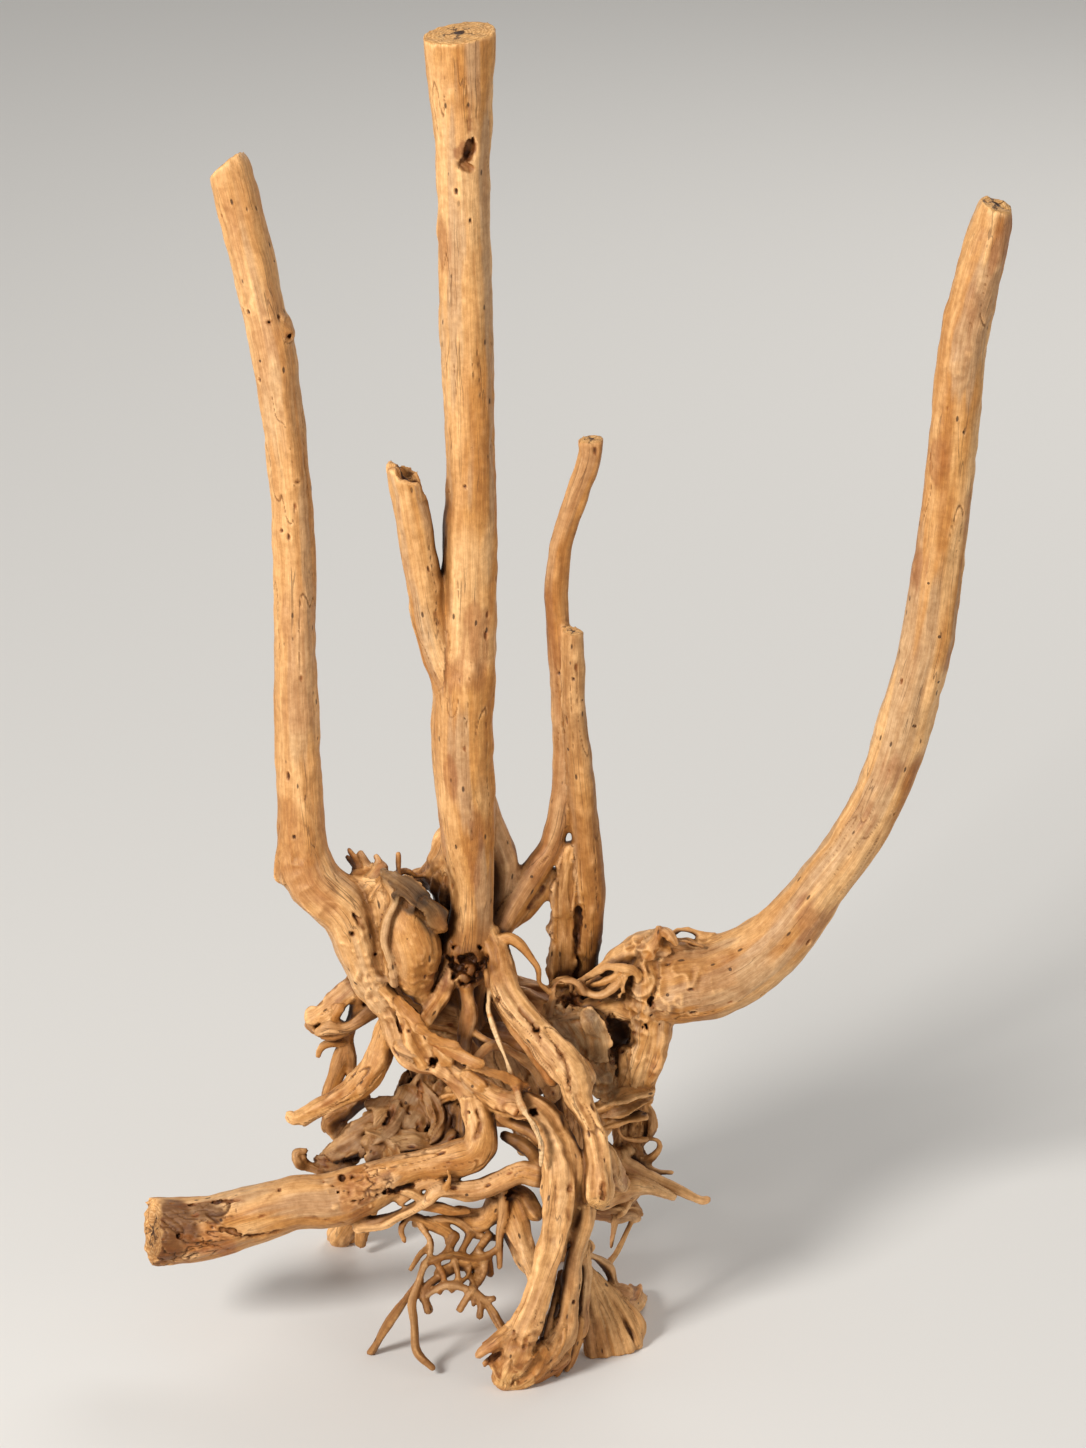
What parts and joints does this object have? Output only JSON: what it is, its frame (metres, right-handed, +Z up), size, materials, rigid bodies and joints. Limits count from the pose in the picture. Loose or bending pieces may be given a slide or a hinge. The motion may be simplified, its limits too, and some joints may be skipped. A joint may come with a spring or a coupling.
{
  "type": "dry root",
  "caption": "Dry, debarked tree root: tall sawn limbs rise from a knotted crown, with a thick sideways stump and tangled root toes that it stands on",
  "frame": {"origin": "on the floor, under the middle of the bounding box", "axes": "+Z is up, along the limbs; +X is to the right and -Y is towards the viewer, in the view that shows the stump limb at the left and the leaning limb at the right"},
  "size_m": [0.431, 0.1901, 0.6824],
  "materials": {
    "weathered_wood": "bare, dry, debarked wood; golden tan with orange-brown stains and grey bark remnants; matt, with fine long grain, cracks and beetle holes"
  },
  "bodies": {
    "root": {"root_wood": "weathered_wood"}
  },
  "joints": []
}
